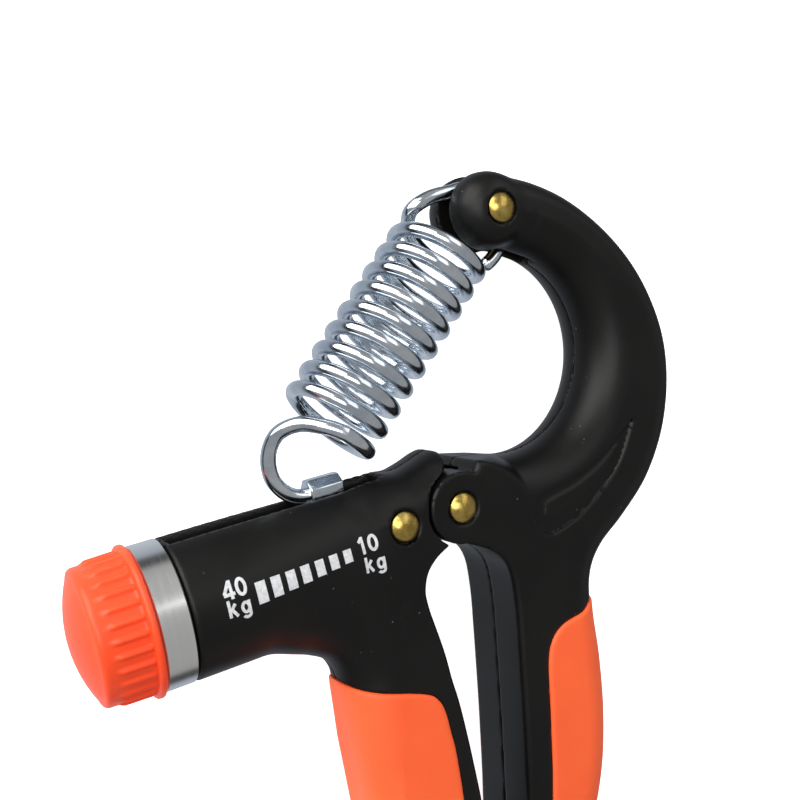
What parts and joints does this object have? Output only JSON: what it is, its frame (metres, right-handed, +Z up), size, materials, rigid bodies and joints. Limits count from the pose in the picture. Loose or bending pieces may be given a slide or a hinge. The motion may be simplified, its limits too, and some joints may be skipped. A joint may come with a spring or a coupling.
{
  "type": "hand grip strengthener",
  "caption": "Spring hand grip strengthener: a C-shaped lever and a barrel lever on one pin, with an adjusting knob that slides the extension spring's anchor.",
  "frame": {"origin": "centre of the bounding box in plan, on the plane that the object lies on", "axes": "the grip lies on its side: +Z is up through its thickness and along the hinge pin, +Y runs from the handle tips to the C-shaped arm, +X runs from the adjusting knob towards the fixed lever"},
  "size_m": [0.127, 0.1461, 0.0278],
  "materials": {
    "black_body": "satin moulded plastic with a faint grain",
    "orange_pad": "matte soft overmould",
    "orange_knob": "glossy moulded plastic",
    "rivet_brass": "satin brass",
    "ring_steel": "turned, bright",
    "zinc": "bright zinc plating",
    "steel": "plain machined steel",
    "white_nylon": "natural nylon",
    "print_white": "printed ink"
  },
  "bodies": {
    "fixed_lever": {"fixed_shell_near": "black_body", "fixed_shell_far": "black_body", "fixed_grip_pad": "orange_pad", "hinge_pin": "rivet_brass", "spring_pin": "rivet_brass"},
    "moving_lever": {"moving_shell_near": "black_body", "moving_shell_far": "black_body", "moving_grip_pad": "orange_pad", "hinge_link": "steel", "link_pin": "rivet_brass", "collar_ring": "ring_steel", "spindle_bush": "white_nylon", "inner_bush": "white_nylon", "scale_marks": "print_white"},
    "knob": {"knob_shell": "orange_knob", "spindle": "steel", "thrust_washer": "steel", "spindle_circlip": "steel"},
    "nut": {"travelling_nut": "zinc", "hook_post": "zinc"},
    "spring_swing": {"spring_eye_end": "zinc"},
    "spring_head": {"spring_eye": "zinc"},
    "spring_top": {"spring_upper_turn": "zinc"},
    "spring_middle": {"spring_coil": "zinc"},
    "spring_foot": {"spring_lower_turn": "zinc", "spring_lower_hook": "zinc"}
  },
  "joints": [
    {"name": "grip", "type": "hinge", "parent": "fixed_lever", "child": "moving_lever", "pos_m": [0.00891, 0.00695, 0.0139], "axis": [0, 0, 1], "range_deg": [-24, 5], "stiffness_Nm_per_rad": 1, "springref_deg": -24},
    {"name": "knob_turn", "type": "hinge", "parent": "moving_lever", "child": "knob", "pos_m": [-0.05863, -0.01181, 0.0139], "axis": [-0.9763, -0.2164, 0], "range_deg": [0, 6120]},
    {"name": "nut_slide", "type": "slide", "parent": "moving_lever", "child": "nut", "axis": [-0.9763, -0.2164, 0], "range_m": [0, 0.017]},
    {"name": "spring_swing", "type": "hinge", "parent": "fixed_lever", "child": "spring_swing", "pos_m": [0.01751, 0.06545, 0.0139], "axis": [0, 0, 1], "range_deg": [-4, 2], "deforming": ["spring_eye_end"]},
    {"name": "spring_lean", "type": "hinge", "parent": "spring_swing", "child": "spring_head", "pos_m": [0.01751, 0.06545, 0.0139], "axis": [0, 0, 1], "range_deg": [-8.7, 0.2], "deforming": ["spring_eye"]},
    {"name": "coil_upper_stretch", "type": "slide", "parent": "spring_head", "child": "spring_top", "axis": [-0.5764, -0.8171, 0], "range_m": [-0.0001, 0.0066], "deforming": ["spring_upper_turn"]},
    {"name": "coil_stretch", "type": "slide", "parent": "spring_top", "child": "spring_middle", "axis": [-0.5764, -0.8171, 0], "range_m": [-0.0107, 0.0024], "deforming": ["spring_coil"]},
    {"name": "coil_lower_stretch", "type": "slide", "parent": "spring_middle", "child": "spring_foot", "axis": [-0.5764, -0.8171, 0], "range_m": [-0.0001, 0.0066], "deforming": ["spring_lower_turn", "spring_lower_hook"]}
  ],
  "couplings": [
    {"joint": "nut_slide", "follows": "knob_turn", "m_per_rad": 0.00015915},
    {"joint": "spring_swing", "follows": "grip", "ratio": 0.125},
    {"joint": "spring_lean", "follows": "knob_turn", "ratio": -0.001399},
    {"joint": "coil_upper_stretch", "follows": "knob_turn", "m_per_rad": 0.000060766},
    {"joint": "coil_stretch", "follows": "grip", "m_per_rad": 0.025306},
    {"joint": "coil_lower_stretch", "follows": "knob_turn", "m_per_rad": 0.000060766}
  ]
}
